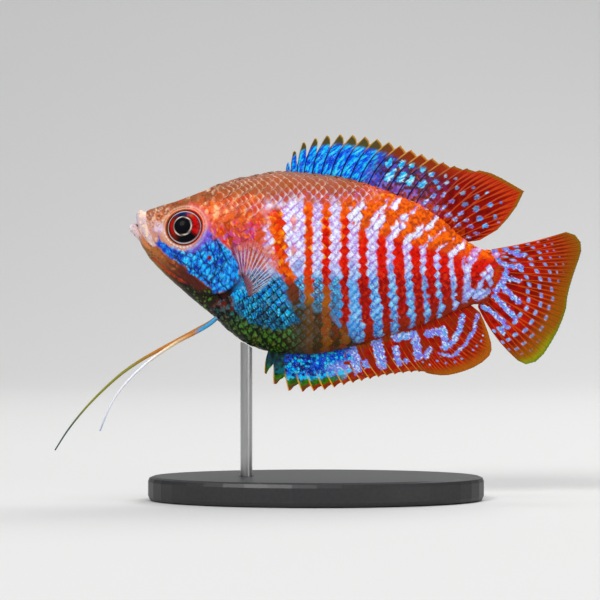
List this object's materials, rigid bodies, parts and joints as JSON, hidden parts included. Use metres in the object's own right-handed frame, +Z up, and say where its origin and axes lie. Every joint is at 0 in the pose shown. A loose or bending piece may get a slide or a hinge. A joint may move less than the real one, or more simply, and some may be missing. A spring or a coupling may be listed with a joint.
{
  "type": "dwarf gourami",
  "caption": "Life-size male dwarf gourami in a swimming pose, with spiny back and belly fins and thread-like feelers, held by a rod on an oval base.",
  "frame": {"origin": "middle of the underside of the stand's base", "axes": "+X from the head towards the tail, +Z up, +Y towards the fish's right side"},
  "size_m": [0.0884, 0.034, 0.061],
  "materials": {
    "skin": "wet scales in red and pale blue bars",
    "lips": "smooth, moist, pale pink",
    "gill_cover": "shining blue",
    "eye": "clear, domed, dark red iris",
    "fin": "satin, red with pale blue spots",
    "pectoral_fin": "satin, pale pink",
    "feeler": "satin, amber",
    "stand_base": "satin black",
    "stand_rod": "fine brushed"
  },
  "bodies": {
    "root": {"head": "skin", "upper_lip": "lips", "lower_jaw": "lips", "gill_cover_left": "gill_cover", "gill_cover_right": "gill_cover", "eye_left": "eye", "eye_right": "eye", "torso": "skin", "tail_stalk": "skin", "dorsal_fin": "fin", "anal_fin": "fin", "caudal_fin": "fin", "pectoral_fin_left": "pectoral_fin", "pectoral_fin_right": "pectoral_fin", "feeler_left": "feeler", "feeler_right": "feeler", "stand_base": "stand_base", "stand_rod": "stand_rod"}
  },
  "joints": []
}
